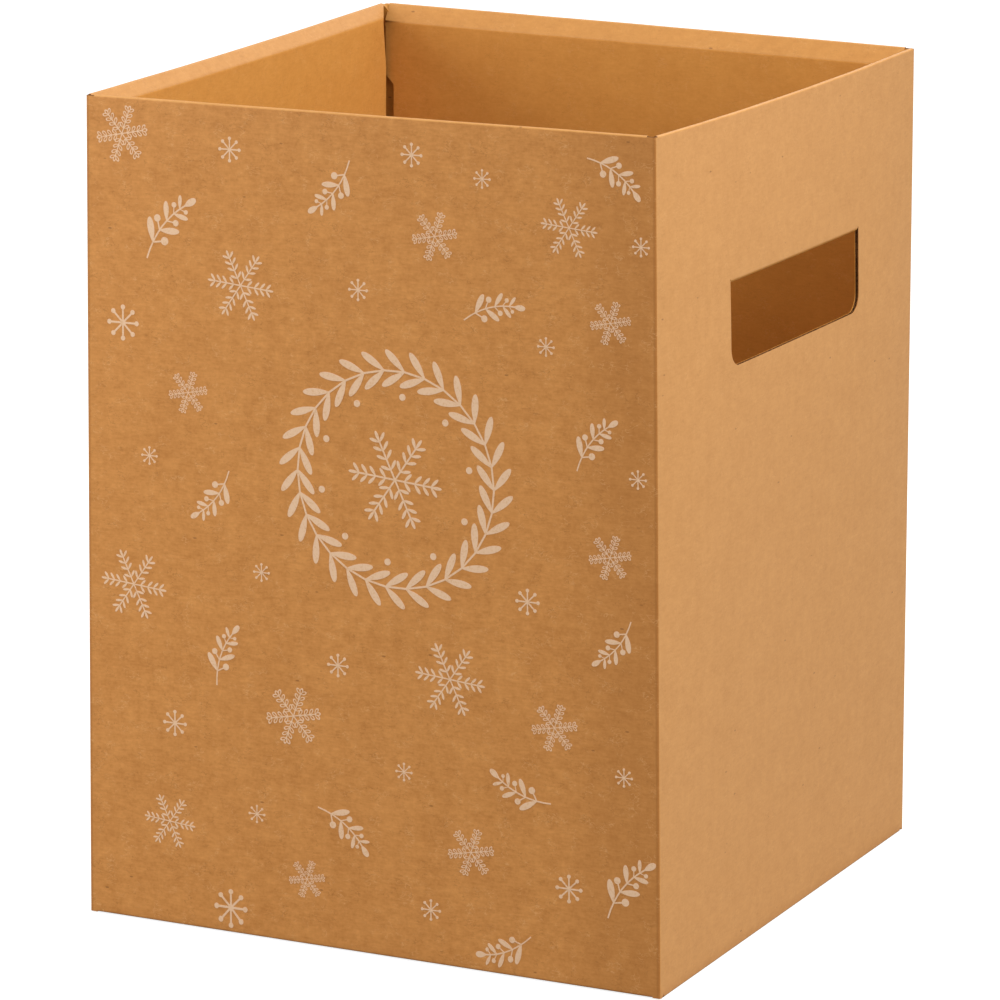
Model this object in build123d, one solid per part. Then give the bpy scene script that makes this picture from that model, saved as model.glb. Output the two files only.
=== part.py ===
from build123d import *
import math
import os
from collections import namedtuple

# Erected box over its outer faces: across the front, front to back, and floor to rim
box_width = 225.0
box_depth = 225.0
box_height = 300.0

# Corrugated board: thickness, outside of a crushed fold, room between two layers, and width of a knife cut
board = 1.5
fold_radius = 0.9
layer_gap = 0.25
knife_cut = 0.5

# Turned-in rim: a strip between two creases slopes inward and down, and a flap hangs from it
crest_radius = 0.8
crease_radius = 2.2
end_rim_slope = 60.0
side_rim_slope = 50.0
end_rim_gap = 2.0
side_rim_land = 1.8
side_rim_mitre = 6.0
corner_drop = 0.4

# Inner flaps: the front and back ones have an ear at each end, above a step, and the side ones widen below the rim
flap_depth = 50.0
flap_corner_radius = 4.0
end_flap_inset = 0.3
ear_depth = 27.0
ear_step = 3.6
ear_corner_radius = 1.0
side_flap_gap = 1.8
side_flap_widening = 24.0

# Hand holes in the two side walls, each closed by a tab that is folded up behind the inner flap
hole_width = 113.0
hole_height = 29.0
hole_below_rim = 58.0
hole_corner_radius = 6.5

# Glue tab down the back left corner, narrowed towards both its ends
glue_tab_width = 32.0
glue_tab_foot_taper = 8.0
glue_tab_top_taper = 28.0

# Self-locking base: side flaps lie under the end flaps, which hook into each other along an S-shaped seam
base_relief = 1.5
side_base_reach = 92.0
side_base_bevel = 20.0
side_base_cut = 46.0
base_corner_radius = 6.0
seam_hook = 20.0
seam_run = 26.0
seam_radius = 9.0
seam_gap = 1.0
end_base_taper = 5.0
score_width = 1.2
score_depth = 0.3

# Sizes that follow from those above
half_width = box_width / 2
half_depth = box_depth / 2
tab_fold_radius = board + layer_gap / 2
rim_depth = 3 * board + 2 * layer_gap
rim_start = box_height - crest_radius - board
corner_top = box_height - corner_drop
corner_foot = 2 * board
flap_end = box_height - flap_depth
hole_top = box_height - hole_below_rim
hole_foot = hole_top - hole_height
tab_root = hole_top + tab_fold_radius

# A wall is drawn at the front and turned into place by quarter turns: the distance of its outer face from
# the middle, the ends of its panel, the height of the underside of its base flap, and the slope of its rim
Wall = namedtuple("Wall", "turns distance start end base_height rim_slope")
end_rim_half = half_width - board - end_rim_gap
end_flap_half = end_rim_half - end_flap_inset
side_flap_half = half_depth - rim_depth - side_flap_gap
walls = {
    "front": Wall(0, half_depth, board - half_width, half_width - board, board, end_rim_slope),
    "right": Wall(1, half_width, board - half_depth, half_depth - board, 0, side_rim_slope),
    "back": Wall(2, half_depth, board - half_width, half_width - board, board, end_rim_slope),
    "left": Wall(3, half_width, 2 * board - half_depth, half_depth - board, 0, side_rim_slope),
}


def in_place(wall, part):
    """Turns a part drawn at the front to its own side of the box."""
    return Rot(0, 0, math.degrees(wall.turns * math.pi / 2)) * part


def along_wall(wall, profile, start, end):
    """Runs a profile, drawn as depth behind the outer face and height, along the wall."""
    plane = Plane(origin=(start, -wall.distance, 0), x_dir=(0, 1, 0), z_dir=(1, 0, 0))
    return extrude(plane * profile, amount=end - start, dir=(1, 0, 0))


def sheet_plate(wall, outline, inset):
    """A flat layer of board with an outline seen from the front, set in behind the wall's outer face."""
    plane = Plane(origin=(0, inset - wall.distance, 0), x_dir=(1, 0, 0), z_dir=(0, -1, 0))
    return extrude(plane * outline, amount=board, dir=(0, 1, 0))


def upright_strip(wall, start, end, foot, top):
    """A plain upright length of the wall between two places along it and two heights."""
    corners = [(start, foot), (end, foot), (end, top), (start, top)]
    return sheet_plate(wall, make_face(Polyline(*corners, close=True)), 0)


def rounded_outline(points, radii):
    """A closed outline with its own rounding at each corner."""
    return make_face(FilletPolyline(*points, radius=radii, close=True))


def crushed_fold():
    """The section of a fold at a crushed score, square inside, with its inner corner at the origin."""
    return rounded_outline([(0, 0), (-board, 0), (-board, -board), (0, -board)], [0, 0, fold_radius, 0])


def rim_profile(slope):
    """The board from the wall over the crest, down the sloping strip and into the start of the flap."""
    angle = math.radians(slope)
    peak = box_height - crest_radius + crest_radius * math.tan(math.pi / 4 + angle / 2)
    crease = peak - rim_depth * math.tan(angle)
    points = [(0, rim_start), (0, peak), (rim_depth, crease), (rim_depth, flap_top(slope))]
    outer_face = FilletPolyline(*points, radius=[crest_radius, crease_radius])
    return make_face(offset(outer_face, amount=board, side=Side.RIGHT, closed=True))


def flap_top(slope):
    """Height below the second crease where the inner flap hangs straight."""
    angle = math.radians(slope)
    peak = box_height - crest_radius + crest_radius * math.tan(math.pi / 4 + angle / 2)
    bend_length = crease_radius * math.tan(math.pi / 4 - angle / 2)
    return peak - rim_depth * math.tan(angle) - bend_length - board


def side_flap_outline(wall):
    """An inner flap as wide as its mitred strip above, wider below, with rounded lower corners."""
    top, full, reach = flap_top(wall.rim_slope), box_height - side_flap_widening, side_flap_half
    points = [(wall.start + side_rim_mitre, top), (-reach, full), (-reach, flap_end),
              (reach, flap_end), (reach, full), (wall.end - side_rim_mitre, top)]
    return rounded_outline(points, [0, 0, flap_corner_radius, flap_corner_radius, 0, 0])


def end_flap_outline(wall):
    """An inner flap that is full width down to its ears and steps in below them."""
    top, reach = flap_top(wall.rim_slope), end_flap_half
    ear = box_height - ear_depth
    inner = reach - ear_step
    half = [(reach, top), (reach, ear), (inner, ear - ear_step), (inner, flap_end)]
    points = half + [(-x, z) for x, z in reversed(half)]
    radii = [0, ear_corner_radius, ear_corner_radius, flap_corner_radius]
    return rounded_outline(points, radii + radii[::-1])


def wall_panel(wall):
    """The upright panel between the corner folds, from the fold of the base up to the rim."""
    return upright_strip(wall, wall.start, wall.end, wall.base_height + board, rim_start)


def side_rim(wall):
    """The rolled rim of a side wall: square-ended at the crest, from corner to corner, and mitred behind it."""
    rim = along_wall(wall, rim_profile(wall.rim_slope), wall.start, wall.end)
    plan = [(wall.start, 0), (wall.end, 0), (wall.end, side_rim_land), (wall.end - side_rim_mitre, rim_depth),
            (wall.start + side_rim_mitre, rim_depth), (wall.start, side_rim_land)]
    column = extrude(make_face(Polyline(*plan, close=True)), amount=box_height, dir=(0, 0, 1))
    rim = rim & (Pos(0, -wall.distance, 0) * column)
    return rim + sheet_plate(wall, side_flap_outline(wall), rim_depth - board)


def end_rim(wall):
    """The rolled rim of the front or back wall, square at its ends, between two short upright stubs."""
    rim = along_wall(wall, rim_profile(wall.rim_slope), -end_rim_half, end_rim_half)
    rim += upright_strip(wall, wall.start, -end_rim_half, rim_start, corner_top)
    rim += upright_strip(wall, end_rim_half, wall.end, rim_start, corner_top)
    return rim + sheet_plate(wall, end_flap_outline(wall), rim_depth - board)


def base_fold(wall, reach):
    """The fold from a wall into its base flap."""
    return along_wall(wall, Pos(board, wall.base_height + board) * crushed_fold(), -reach, reach)


def base_flap(wall, outline):
    """A base flap of the given outline, seen from above, at its own layer."""
    return extrude(Pos(0, 0, wall.base_height) * outline, amount=board, dir=(0, 0, 1))


def side_base(wall):
    """A side wall's base flap: a glued corner with a diagonal score at one end, cut away at the other."""
    reach = half_depth - board - base_relief
    root = board - wall.distance
    tip = side_base_reach - wall.distance
    points = [(-reach, root), (reach, root), (reach, tip - side_base_bevel),
              (reach - side_base_bevel, tip), (side_base_cut - reach, tip)]
    radii = [0, 0, base_corner_radius, base_corner_radius, base_corner_radius]
    flap = base_fold(wall, reach) + base_flap(wall, rounded_outline(points, radii))
    score = Rectangle(2 * side_base_reach, score_width, rotation=math.degrees(-math.pi / 4))
    return flap - extrude(Pos(reach, root) * score, amount=score_depth, dir=(0, 0, 1))


def end_base(wall):
    """A front or back base flap, long on one half of the seam and short on the other."""
    reach = half_width - board - base_relief
    root = board - wall.distance
    near, far = -seam_hook - seam_gap / 2, seam_hook - seam_gap / 2
    points = [(-reach, root), (reach, root), (reach - end_base_taper, near),
              (seam_run, near), (-seam_run, far), (end_base_taper - reach, far)]
    radii = [0, 0, base_corner_radius, seam_radius, seam_radius, base_corner_radius]
    return base_fold(wall, reach) + base_flap(wall, rounded_outline(points, radii))


def hand_hole(wall):
    """The cut through a side wall: square at the crease above, rounded below."""
    side = hole_width / 2
    points = [(-side, tab_root), (-side, hole_foot), (side, hole_foot), (side, tab_root)]
    return sheet_plate(wall, rounded_outline(points, [0, hole_corner_radius, hole_corner_radius, 0]), 0)


def hand_tab(wall):
    """The tab from the hand hole, folded right over at its top crease and tucked up behind the flap."""
    side = hole_width / 2 - knife_cut
    half_turn = Rectangle(2 * tab_fold_radius, tab_fold_radius, align=(Align.CENTER, Align.MAX))
    ring = Circle(tab_fold_radius) - Circle(tab_fold_radius - board)
    fold = Pos(tab_fold_radius, tab_root) * (ring & half_turn)
    tip = hole_top + hole_height - knife_cut
    points = [(-side, tab_root), (side, tab_root), (side, tip), (-side, tip)]
    outline = rounded_outline(points, [0, 0, hole_corner_radius, hole_corner_radius])
    return along_wall(wall, fold, -side, side) + sheet_plate(wall, outline, board + layer_gap)


def side_wall(wall):
    """A side wall with its rim, hand hole, tab and base flap."""
    panel = wall_panel(wall) - hand_hole(wall)
    return panel + side_rim(wall) + hand_tab(wall) + side_base(wall)


def end_wall(wall):
    """The front or back wall with its rim and base flap."""
    return wall_panel(wall) + end_rim(wall) + end_base(wall)


def corner_fold(x, y, turns):
    """The upright fold between two walls, given its inner corner."""
    section = Rot(0, 0, math.degrees(turns * math.pi / 2)) * crushed_fold()
    return extrude(Pos(x, y, corner_foot) * section, amount=corner_top - corner_foot, dir=(0, 0, 1))


def corner_folds():
    """The four upright corners: the back left one is set in by a board, under the end of the back wall."""
    x, y = half_width - board, half_depth - board
    return corner_fold(-x, -y, 0) + corner_fold(x, -y, 1) + corner_fold(x, y, 2) + corner_fold(-x, y - board, 3)


def glue_tab():
    """The tapered tab that runs on from the left wall and is glued inside the back wall."""
    root, edge = board - half_width, glue_tab_width - half_width
    points = [(root, corner_foot), (edge, corner_foot + glue_tab_foot_taper),
              (edge, corner_top - glue_tab_top_taper), (root, corner_top)]
    plane = Plane(origin=(0, half_depth - board, 0), x_dir=(1, 0, 0), z_dir=(0, -1, 0))
    return extrude(plane * make_face(Polyline(*points, close=True)), amount=board, dir=(0, -1, 0))


def folded_carton():
    """The whole box: one die-cut sheet, folded, turned in at the rim and glued down one corner."""
    carton = corner_folds() + glue_tab()
    for name in ("front", "back"):
        carton += in_place(walls[name], end_wall(walls[name]))
    for name in ("left", "right"):
        carton += in_place(walls[name], side_wall(walls[name]))
    return carton


os.makedirs("parts", exist_ok=True)
export_step(folded_carton(), "parts/carton.step")
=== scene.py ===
"""A tall kraft carton with a turned-in rim, hand holes and a pale seasonal print, in a plain studio."""

import logging
import math
from collections.abc import Iterable, Mapping, Sequence
from dataclasses import dataclass, field
from enum import Enum
from typing import Any, ClassVar

import bmesh
import bpy
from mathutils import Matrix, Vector, noise


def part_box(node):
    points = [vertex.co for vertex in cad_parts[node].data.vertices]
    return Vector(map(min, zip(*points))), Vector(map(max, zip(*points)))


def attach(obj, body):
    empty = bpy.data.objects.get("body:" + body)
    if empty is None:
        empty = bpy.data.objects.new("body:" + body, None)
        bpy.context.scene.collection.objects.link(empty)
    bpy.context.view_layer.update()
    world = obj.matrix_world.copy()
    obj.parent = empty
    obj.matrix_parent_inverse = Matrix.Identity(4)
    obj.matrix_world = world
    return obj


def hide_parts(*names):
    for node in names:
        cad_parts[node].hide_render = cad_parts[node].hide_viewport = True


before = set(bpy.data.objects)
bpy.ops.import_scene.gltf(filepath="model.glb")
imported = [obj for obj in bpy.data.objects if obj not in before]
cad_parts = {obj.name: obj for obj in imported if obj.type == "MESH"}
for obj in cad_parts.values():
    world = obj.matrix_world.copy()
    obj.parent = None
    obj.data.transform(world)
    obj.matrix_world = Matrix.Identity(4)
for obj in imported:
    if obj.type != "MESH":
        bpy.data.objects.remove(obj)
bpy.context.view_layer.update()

log = logging.getLogger("carton")

MM = 0.001
MM_PER_METRE = 1000.0
CARTON_NODE = "carton"
ROOT_BODY = "root"
PHOTO_SIZE = 1000.0
SENSOR_WIDTH = 36.0
TRUE_FORM = "true_form"
SQUARE_FACING = 0.99
SIDEWAYS_FACING = 0.05

Colour = tuple[float, float, float]
Pixel = tuple[float, float]
Socket = bpy.types.NodeSocket


class Slot(Enum):
    """Names for the board's and the ink's materials."""

    BOARD = "kraft_board"
    INK = "print_ink"


def eased(low: float, high: float, value: float) -> float:
    """Eases from 0 to 1 as a value passes from one limit to the other.

    Args:
        low: The value that gives 0.
        high: The value that gives 1.
        value: The value to ease.

    Returns:
        A share between 0 and 1.
    """
    share = min(max((value - low) / (high - low), 0.0), 1.0)
    return share * share * (3.0 - 2.0 * share)


def keep_true_form(mesh: bpy.types.Mesh, points: Iterable[Vector]) -> None:
    """Stores where a mesh's vertices lie on the true form, for its finishes.

    Args:
        mesh: The mesh.
        points: The places on the true form, in the order of the vertices.
    """
    layer = mesh.attributes.new(TRUE_FORM, "FLOAT_VECTOR", "POINT")
    layer.data.foreach_set("vector", [value for point in points for value in point])


def add_piece(name: str, mesh: bpy.types.Mesh) -> bpy.types.Object:
    """Puts a mesh into the scene.

    Args:
        name: The piece's name.
        mesh: Its mesh.

    Returns:
        The new object.
    """
    piece = bpy.data.objects.new(name, mesh)
    bpy.context.scene.collection.objects.link(piece)
    return piece


class Graph:
    """A shader node tree that is filled one node at a time."""

    mix_inputs = (0, 6, 7)
    mix_output = 2

    def __init__(self, tree: bpy.types.NodeTree) -> None:
        """Keeps the tree that is filled."""
        self.tree = tree

    def add(self, kind: str, values: Mapping[Any, Any] | None = None, **settings: Any) -> bpy.types.Node:
        """Adds a node.

        Args:
            kind: The node's type.
            values: Its inputs by name or index, each a constant or a socket to link from.
            **settings: Its own properties.

        Returns:
            The new node.
        """
        node = self.tree.nodes.new(kind)
        for name, setting in settings.items():
            setattr(node, name, setting)
        for key, value in (values or {}).items():
            if isinstance(value, Socket):
                self.tree.links.new(value, node.inputs[key])
            else:
                node.inputs[key].default_value = value
        return node

    def math(self, operation: str, *values: Any) -> Socket:
        """Adds an operation on numbers and gives its result."""
        return self.add("ShaderNodeMath", dict(enumerate(values)), operation=operation).outputs[0]

    def scaled(self, vector: Socket, factors: Sequence[float]) -> Socket:
        """Scales a vector along its three axes."""
        return self.add("ShaderNodeVectorMath", {0: vector, 1: factors}, operation="MULTIPLY").outputs[0]

    def noise(self, vector: Socket, scale: float, detail: float, roughness: float) -> Socket:
        """Adds cloudy noise between 0 and 1."""
        values = {"Vector": vector, "Scale": scale, "Detail": detail, "Roughness": roughness}
        return self.add("ShaderNodeTexNoise", values).outputs["Fac"]

    def specks(self, vector: Socket) -> Socket:
        """Adds the distance to the nearest of many points, scattered about one unit apart."""
        return self.add("ShaderNodeTexVoronoi", {"Vector": vector, "Scale": 1.0}).outputs["Distance"]

    def ramp(self, value: Socket, low: float, high: float) -> Socket:
        """Eases a number from 0 at one limit to 1 at the other."""
        values = {"Value": value, "From Min": low, "From Max": high}
        return self.add("ShaderNodeMapRange", values, interpolation_type="SMOOTHSTEP").outputs["Result"]

    def spread(self, value: Socket, low: float, high: float) -> Socket:
        """Maps a number between 0 and 1 onto a range."""
        values = {"Value": value, "To Min": low, "To Max": high}
        return self.add("ShaderNodeMapRange", values).outputs["Result"]

    def mix(self, share: Any, first: Any, second: Any) -> Socket:
        """Mixes two colours.

        Args:
            share: The second colour's share, a socket or a constant.
            first: The first colour, a socket or a constant.
            second: The second colour, the same.

        Returns:
            The mixed colour.
        """
        colours = [value if isinstance(value, Socket) else (*value, 1.0) for value in (first, second)]
        values = dict(zip(self.mix_inputs, (share, *colours)))
        return self.add("ShaderNodeMix", values, data_type="RGBA").outputs[self.mix_output]

    def place(self) -> Socket:
        """Gives a point's place on the true form, before the box settled, in metres."""
        return self.add("ShaderNodeAttribute", attribute_name=TRUE_FORM).outputs["Vector"]

    def in_millimetres(self, place: Socket) -> Socket:
        """Gives a place in millimetres."""
        return self.scaled(place, (MM_PER_METRE,) * 3)


@dataclass(frozen=True)
class Grain:
    """A layer of cloudy noise, with its stretch along the three axes and its share of the paper's tone."""

    scale: float
    detail: float
    roughness: float
    stretch: tuple[float, float, float] = (1.0, 1.0, 1.0)
    tone_share: float = 0.0

    def on(self, graph: Graph, point: Socket) -> Socket:
        """Adds the noise at a point."""
        return graph.noise(graph.scaled(point, self.stretch), self.scale, self.detail, self.roughness)


class SharedEffect:
    """A node group that several finishes place with their own values."""

    name = "effect"
    inputs: tuple[str, ...] = ()
    outputs: tuple[str, ...] = ()

    def tree(self) -> bpy.types.NodeTree:
        """Gives the group's tree, built on its first use.

        Returns:
            The shader node tree of the group.
        """
        made = bpy.data.node_groups.get(self.name)
        if made is None:
            made = bpy.data.node_groups.new(self.name, "ShaderNodeTree")
            made.interface.new_socket("Place", in_out="INPUT", socket_type="NodeSocketVector")
            for value in self.inputs:
                made.interface.new_socket(value, in_out="INPUT", socket_type="NodeSocketFloat")
            for output in self.outputs:
                made.interface.new_socket(output, in_out="OUTPUT", socket_type="NodeSocketFloat")
            graph = Graph(made)
            graph.add("NodeGroupOutput", self.fill(graph, graph.add("NodeGroupInput").outputs))
        return made

    def fill(self, graph: Graph, given: Mapping[str, Socket]) -> dict[str, Socket]:
        """Fills the group.

        Args:
            graph: The group's tree.
            given: The group's own inputs, with the point on the object in metres as Place.

        Returns:
            The sockets that feed the group's outputs, by name.
        """
        raise NotImplementedError

    def put_in(self, graph: Graph, values: Mapping[str, Any]) -> Mapping[str, Socket]:
        """Places the group in a material.

        Args:
            graph: The material's tree.
            values: The group's inputs, with the point on the object in metres as Place.

        Returns:
            The placed node's outputs.
        """
        return graph.add("ShaderNodeGroup", values, node_tree=self.tree()).outputs


class KraftPulp(SharedEffect):
    """Unbleached paper: clouds and clots of pulp, pale and dark curls of fibre, and a few dark flecks."""

    name = "kraft_pulp"
    inputs = ("Contrast",)
    outputs = ("Tone", "Pale", "Dark", "Fleck", "Height")
    clouds = Grain(0.045, 3.0, 0.55, (1.0, 1.0, 1.5), tone_share=0.4)
    clots = Grain(0.21, 4.0, 0.62, (1.0, 1.0, 1.5), tone_share=0.66)
    streaks = Grain(1.0, 2.0, 0.5, (0.26, 0.26, 1.3), tone_share=0.46)
    ribs = Grain(1.0, 1.0, 0.5, (0.3, 0.3, 0.012), tone_share=0.16)
    tooth = Grain(1.0, 2.0, 0.6, tone_share=0.46)
    nap = Grain(0.9, 3.0, 0.6)
    fibres = Grain(1.0, 1.5, 0.55, (0.42, 0.42, 0.8))
    fibre_patches = Grain(0.16, 2.0, 0.5)
    fibre_limits = (0.03, 0.008)
    patch_limits = (0.5, 0.64)
    dark_fibre_shift = 37.0
    fleck_stretch = (0.05, 0.05, 0.13)
    fleck_limits = (0.05, 0.025)
    mid_tone = 0.5
    nap_share = 0.6
    clot_share = 0.5
    fibre_share = 0.3

    def fill(self, graph: Graph, given: Mapping[str, Socket]) -> dict[str, Socket]:
        """Fills the group.

        Args:
            graph: The group's tree.
            given: The group's own inputs, with the point on the object in metres as Place.

        Returns:
            The sockets that feed the group's outputs, by name.
        """
        point = graph.in_millimetres(given["Place"])
        clots = self.clots.on(graph, point)
        tone = graph.math("MULTIPLY", clots, self.clots.tone_share)
        others = (self.clouds, self.streaks, self.ribs, self.tooth)
        for grain in others:
            tone = graph.math("MULTIPLY_ADD", grain.on(graph, point), grain.tone_share, tone)
        middle = self.mid_tone * sum(grain.tone_share for grain in (self.clots, *others))
        tone = graph.math("SUBTRACT", tone, middle)
        pale = self.curls(graph, point, 0.0)
        dark = self.curls(graph, point, self.dark_fibre_shift)
        flecks = graph.specks(graph.scaled(point, self.fleck_stretch))
        rise = graph.math("MULTIPLY", clots, self.clot_share)
        rise = graph.math("MULTIPLY_ADD", self.nap.on(graph, point), self.nap_share, rise)
        return {
            "Tone": graph.math("MULTIPLY_ADD", tone, given["Contrast"], self.mid_tone),
            "Pale": graph.math("MULTIPLY", pale, given["Contrast"]),
            "Dark": graph.math("MULTIPLY", dark, given["Contrast"]),
            "Fleck": graph.ramp(flecks, *self.fleck_limits),
            "Height": graph.math("MULTIPLY_ADD", pale, self.fibre_share, rise),
        }

    def curls(self, graph: Graph, point: Socket, shift: float) -> Socket:
        """Adds short curled fibres in patches.

        Args:
            graph: The group's tree.
            point: The point on the object, in millimetres.
            shift: How far to shift the pattern, so that two kinds of fibre lie apart.

        Returns:
            A mask of the fibres.
        """
        moved = graph.add("ShaderNodeVectorMath", {0: point, 1: (shift,) * 3}, operation="ADD").outputs[0]
        waves = self.fibres.on(graph, moved)
        away = graph.math("ABSOLUTE", graph.math("SUBTRACT", waves, self.mid_tone))
        patch = graph.ramp(self.fibre_patches.on(graph, moved), *self.patch_limits)
        return graph.math("MULTIPLY", graph.ramp(away, *self.fibre_limits), patch)


@dataclass(frozen=True)
class FoldLines:
    """Where the walls meet, for painted shade at the folds and the foot and for the rubbed rim: the distance
    from the middle to the side walls, and the rim's height.
    """

    half_width: float
    height: float
    # How far in from the right fold the front's painted shade reaches.
    shade_band: float = 42.0 * MM
    # How far from the side folds the painted shade of the crease reaches.
    line: float = 1.7 * MM
    rub: float = 0.5 * MM
    # How high above the floor the painted shade reaches.
    foot: float = 5.0 * MM
    shade_band_core_share: float = 0.25
    shade_line_core_share: float = 0.5
    rub_core_share: float = 0.3

    def masks(self, graph: Graph, place: Socket) -> dict[str, Socket]:
        """Adds masks for painted shade beside the folds and near the floor, and for the rubbed rim.

        Args:
            graph: The material's tree.
            place: The point on the object, in metres.

        Returns:
            Masks of painted shade beside the right fold (the band) and along the side folds (line), of the
            rubbed rim (rub), and of painted shade near the floor (foot).
        """
        axes = graph.add("ShaderNodeSeparateXYZ", {0: place}).outputs
        from_right = graph.math("SUBTRACT", self.half_width, axes["X"])
        from_side = graph.math("SUBTRACT", self.half_width, graph.math("ABSOLUTE", axes["X"]))
        from_rim = graph.math("SUBTRACT", self.height, axes["Z"])
        return {
            "shade_band": graph.ramp(from_right, self.shade_band, self.shade_band_core_share * self.shade_band),
            "line": graph.ramp(from_side, self.line, self.shade_line_core_share * self.line),
            "rub": graph.ramp(from_rim, self.rub, self.rub_core_share * self.rub),
            "foot": graph.ramp(axes["Z"], self.foot, 0.0),
        }


class Finish:
    """A material that is made once and given to pieces."""

    name = "finish"

    def material(self) -> bpy.types.Material:
        """Gives the material, made on its first use.

        Returns:
            The material.
        """
        made = bpy.data.materials.get(self.name)
        if made is None:
            made = bpy.data.materials.new(self.name)
            made.use_nodes = True
            made.node_tree.nodes.clear()
            graph = Graph(made.node_tree)
            shader = self.shade(graph)
            graph.add("ShaderNodeOutputMaterial", {"Surface": shader.outputs["BSDF"]})
        return made

    def shade(self, graph: Graph) -> bpy.types.Node:
        """Fills the material's tree.

        Args:
            graph: The tree.

        Returns:
            The shader node.
        """
        raise NotImplementedError


class PaperFinish(Finish):
    """A rough paper, whose pulp stands out a little."""

    sheen: float
    rise: float
    bump_strength: float

    def surface(self, graph: Graph, colour: Socket, roughness: Socket, height: Socket) -> bpy.types.Node:
        """Adds the paper's shader.

        Args:
            graph: The material's tree.
            colour: Its colour.
            roughness: Its roughness.
            height: How far the pulp stands out, as a share of the full rise.

        Returns:
            The shader node.
        """
        bump = {"Height": height, "Strength": self.bump_strength, "Distance": self.rise}
        return graph.add("ShaderNodeBsdfPrincipled", {
            "Base Color": colour,
            "Roughness": roughness,
            "Specular IOR Level": self.sheen,
            "Normal": graph.add("ShaderNodeBump", bump).outputs["Normal"],
        })


@dataclass(frozen=True)
class KraftLiner(PaperFinish):
    """The outer papers of the board: brown, uncoated, a little smoothed by the rollers, with painted shade
    at the folds and the foot.
    """

    folds: FoldLines
    name: str = "kraft_liner"
    # The outer walls' colours, paler and bluer than the front's as painted glare.
    deep: Colour = (0.47, 0.212, 0.058)
    pale: Colour = (0.63, 0.31, 0.099)
    pale_fibre: Colour = (0.72, 0.40, 0.16)
    dark_fibre: Colour = (0.33, 0.13, 0.028)
    fleck: Colour = (0.20, 0.075, 0.02)
    rubbed: Colour = (0.66, 0.34, 0.12)
    # The dark brown of painted shade, beside the folds and near the floor.
    pressed: Colour = (0.36, 0.135, 0.026)
    contrast: float = 0.9
    sheen: float = 0.45
    # How dark the painted shade towards the front's right fold is.
    shade_band_share: float = 0.0
    # How dark the painted shade along the side folds is.
    line_share: float = 0.0
    # How dark the painted shade near the floor is.
    foot_shade_share: float = 0.3
    fibre_share: float = 0.22
    fleck_share: float = 0.6
    wear_shares: tuple[float, float] = (0.1, 0.75)
    roughness_range: tuple[float, float] = (0.58, 0.48)
    rise: float = 0.05 * MM
    bump_strength: float = 0.5

    def shade(self, graph: Graph) -> bpy.types.Node:
        """Fills the material's tree.

        Args:
            graph: The tree.

        Returns:
            The shader node.
        """
        place = graph.place()
        masks = self.folds.masks(graph, place)
        pulp = KraftPulp().put_in(graph, {"Place": place, "Contrast": self.contrast})
        colour = graph.mix(pulp["Tone"], self.deep, self.pale)
        worn = graph.math("MULTIPLY", masks["rub"], graph.spread(pulp["Tone"], *self.wear_shares))
        # Band, line and foot are painted shade: darker towards the front's right fold, along the side folds
        # and near the floor; the rub is the rim's wear.
        layers = (
            (masks["shade_band"], self.shade_band_share, self.pressed),
            (masks["line"], self.line_share, self.pressed),
            (masks["foot"], self.foot_shade_share, self.pressed),
            (worn, 1.0, self.rubbed),
            (pulp["Pale"], self.fibre_share, self.pale_fibre),
            (pulp["Dark"], self.fibre_share, self.dark_fibre),
            (pulp["Fleck"], self.fleck_share, self.fleck),
        )
        for mask, strength, paint in layers:
            colour = graph.mix(graph.math("MULTIPLY", mask, strength), colour, paint)
        roughness = graph.spread(pulp["Tone"], *self.roughness_range)
        return self.surface(graph, colour, roughness, pulp["Height"])


@dataclass(frozen=True)
class RawCore(PaperFinish):
    """The fluted middle paper where the board is cut: darker, rough and torn, with near-black patches of
    painted shade.
    """

    name: str = "raw_core"
    # Near-black as painted shade in the cut's hollows; the paler brown is the paper's own.
    deep: Colour = (0.05, 0.018, 0.006)
    pale: Colour = (0.27, 0.115, 0.04)
    tears: Grain = Grain(1.6, 3.0, 0.6)
    pulp_share: float = 0.5
    pale_limits: tuple[float, float] = (0.45, 1.05)
    roughness_range: tuple[float, float] = (0.75, 0.95)
    sheen: float = 0.03
    rise: float = 0.08 * MM
    bump_strength: float = 0.8

    def shade(self, graph: Graph) -> bpy.types.Node:
        """Fills the material's tree.

        Args:
            graph: The tree.

        Returns:
            The shader node.
        """
        place = graph.place()
        pulp = KraftPulp().put_in(graph, {"Place": place, "Contrast": 1.0})
        torn = self.tears.on(graph, graph.in_millimetres(place))
        uneven = graph.math("MULTIPLY_ADD", pulp["Tone"], self.pulp_share, torn)
        share = graph.ramp(uneven, *self.pale_limits)
        colour = graph.mix(share, self.deep, self.pale)
        return self.surface(graph, colour, graph.spread(torn, *self.roughness_range), torn)


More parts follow.
